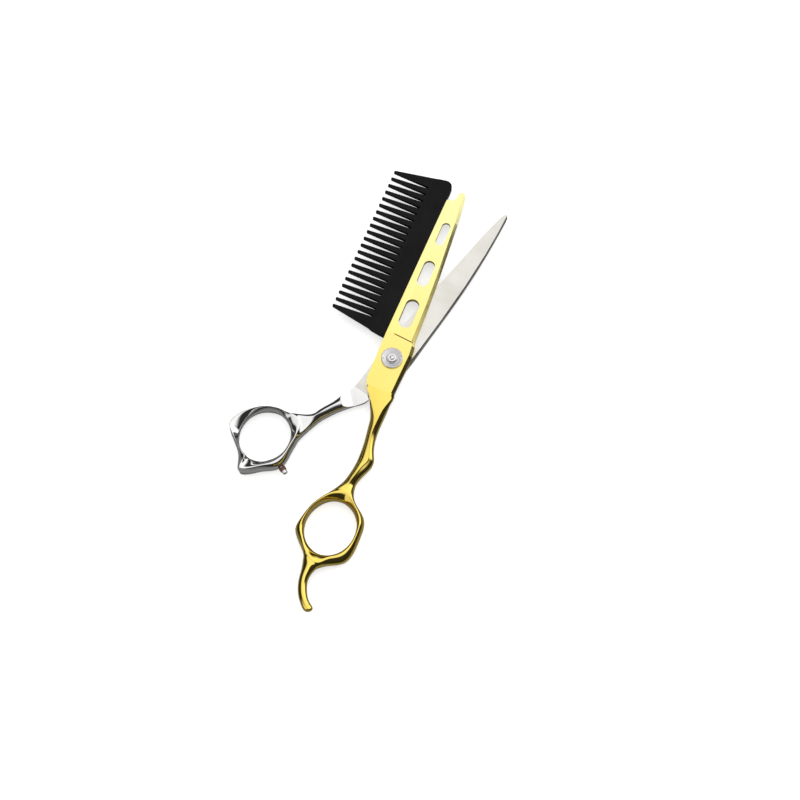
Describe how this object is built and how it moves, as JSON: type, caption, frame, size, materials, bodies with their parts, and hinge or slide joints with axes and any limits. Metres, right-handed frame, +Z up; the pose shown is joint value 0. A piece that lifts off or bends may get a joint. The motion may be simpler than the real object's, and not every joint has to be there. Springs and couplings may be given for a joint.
{
  "type": "hairdressing shears with clip-on comb",
  "caption": "Hairdressing shears with plain blades, offset finger rings, a curved finger rest, a dial pivot and a comb clipped along one blade's spine.",
  "frame": {"origin": "the pivot's axis, on the flat of the rear bolt head, where the shears lie on the table", "axes": "+Z up along the pivot's axis towards the dial, +Y along the finger blade towards its tip, +X away from the comb"},
  "size_m": [0.0656, 0.1778, 0.0082],
  "materials": {
    "gold_blade": "gold-coloured titanium coating, polished",
    "gold_handle": "gold-coloured titanium coating, mirror polished",
    "satin_steel": "fine satin ground steel",
    "mirror_steel": "mirror polished steel",
    "bolt_steel": "polished",
    "dial_steel": "turned and polished",
    "bronze": "machined bronze",
    "spring_steel": "plain",
    "nylon": "natural nylon",
    "stud_steel": "polished",
    "stop_rubber": "dark red-brown rubber",
    "comb_plastic": "moulded satin black plastic"
  },
  "bodies": {
    "finger_half": {"finger_blade": "gold_blade", "finger_handle": "gold_handle", "pivot_bush": "bronze", "click_spring": "spring_steel", "dial_washer": "nylon"},
    "thumb_half": {"thumb_blade": "satin_steel", "thumb_handle": "mirror_steel", "pivot_bolt": "bolt_steel", "ride_washer": "nylon", "stop_stud": "stud_steel", "stop_pad": "stop_rubber"},
    "dial": {"tension_dial": "dial_steel"},
    "comb": {"comb": "comb_plastic"}
  },
  "joints": [
    {"name": "shears_pivot", "type": "hinge", "parent": "finger_half", "child": "thumb_half", "pos_m": [0, 0, 0.0036], "axis": [0, 0, -1], "range_deg": [-14.7, 50]},
    {"name": "dial_turn", "type": "hinge", "parent": "thumb_half", "child": "dial", "pos_m": [0, 0, 0.0073], "axis": [0, 0, 1], "continuous": true},
    {"name": "comb_pull", "type": "slide", "parent": "finger_half", "child": "comb", "axis": [-0.9999, 0.0166, 0], "range_m": [0, 0.015]}
  ]
}
